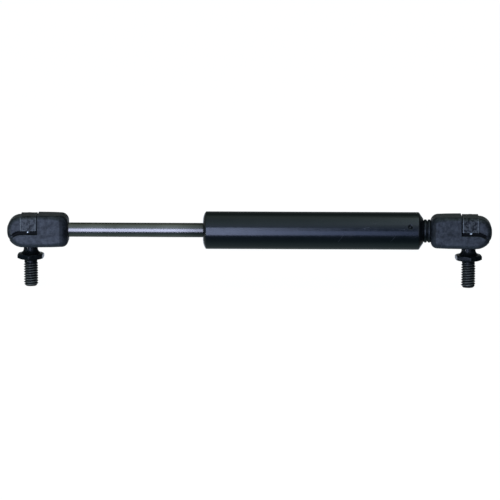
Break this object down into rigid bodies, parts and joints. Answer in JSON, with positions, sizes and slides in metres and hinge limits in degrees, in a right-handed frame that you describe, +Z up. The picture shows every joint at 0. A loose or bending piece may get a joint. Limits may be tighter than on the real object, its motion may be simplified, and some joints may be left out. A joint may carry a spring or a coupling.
{
  "type": "gas strut stay",
  "caption": "Gas spring stay that holds a window, shutter or lid open, with a clipped ball joint and a threaded ball stud at each end.",
  "frame": {"origin": "centre of the rod-end stud's seat face, on the stud's axis", "axes": "+X along the strut from the rod end to the tube end, +Z up the rod-end stud from its thread to its ball"},
  "size_m": [0.2698, 0.021, 0.0422],
  "materials": {
    "black_steel": "black zinc, satin",
    "black_moulding": "fine-textured black glass-filled nylon",
    "clip_steel": "black-coated spring steel, mottled",
    "rod_steel": "dark nitrided, polished",
    "tube_paint": "black, semi-gloss",
    "plug_steel": "turned, blackened",
    "washer_steel": "pressed, oiled",
    "piston_alloy": "die-cast, turned",
    "ring_plastic": "filled PTFE",
    "guide_plastic": "natural nylon",
    "bearing_bronze": "sintered bronze",
    "seal_rubber": "nitrile"
  },
  "bodies": {
    "rod_stud": {"rod_ball_stud": "black_steel"},
    "rod": {"rod_fitting": "black_moulding", "piston_rod": "rod_steel", "piston_front_washer": "washer_steel", "piston": "piston_alloy", "piston_rear_washer": "washer_steel", "piston_nut": "washer_steel"},
    "rod_clip": {"rod_clip": "clip_steel"},
    "piston_ring": {"piston_ring": "ring_plastic"},
    "cylinder": {"pressure_tube": "tube_paint", "cover_washer": "washer_steel", "rod_guide": "guide_plastic", "guide_liner": "bearing_bronze", "rod_seal": "seal_rubber", "seal_washer": "washer_steel", "end_plug": "plug_steel", "end_o_ring": "seal_rubber", "tube_fitting": "black_moulding"},
    "tube_clip": {"tube_clip": "clip_steel"},
    "tube_stud": {"tube_ball_stud": "black_steel"}
  },
  "joints": [
    {"name": "rod_end_swivel", "type": "hinge", "parent": "rod_stud", "child": "rod", "pos_m": [0, 0, 0.0162], "axis": [0, 0, 1], "continuous": true},
    {"name": "rod_clip_lift", "type": "slide", "parent": "rod", "child": "rod_clip", "axis": [0, 0, 1], "range_m": [0, 0.003]},
    {"name": "rod_turn", "type": "hinge", "parent": "rod", "child": "piston_ring", "pos_m": [0, 0, 0.0162], "axis": [1, 0, 0], "continuous": true},
    {"name": "stroke", "type": "slide", "parent": "piston_ring", "child": "cylinder", "axis": [-1, 0, 0], "range_m": [0, 0.07], "stiffness_N_per_m": 430, "springref_m": -0.2326},
    {"name": "tube_clip_lift", "type": "slide", "parent": "cylinder", "child": "tube_clip", "axis": [0, 0, 1], "range_m": [0, 0.003]},
    {"name": "tube_end_swivel", "type": "hinge", "parent": "cylinder", "child": "tube_stud", "pos_m": [0.244, 0, 0.0162], "axis": [0, 0, 1], "continuous": true}
  ]
}
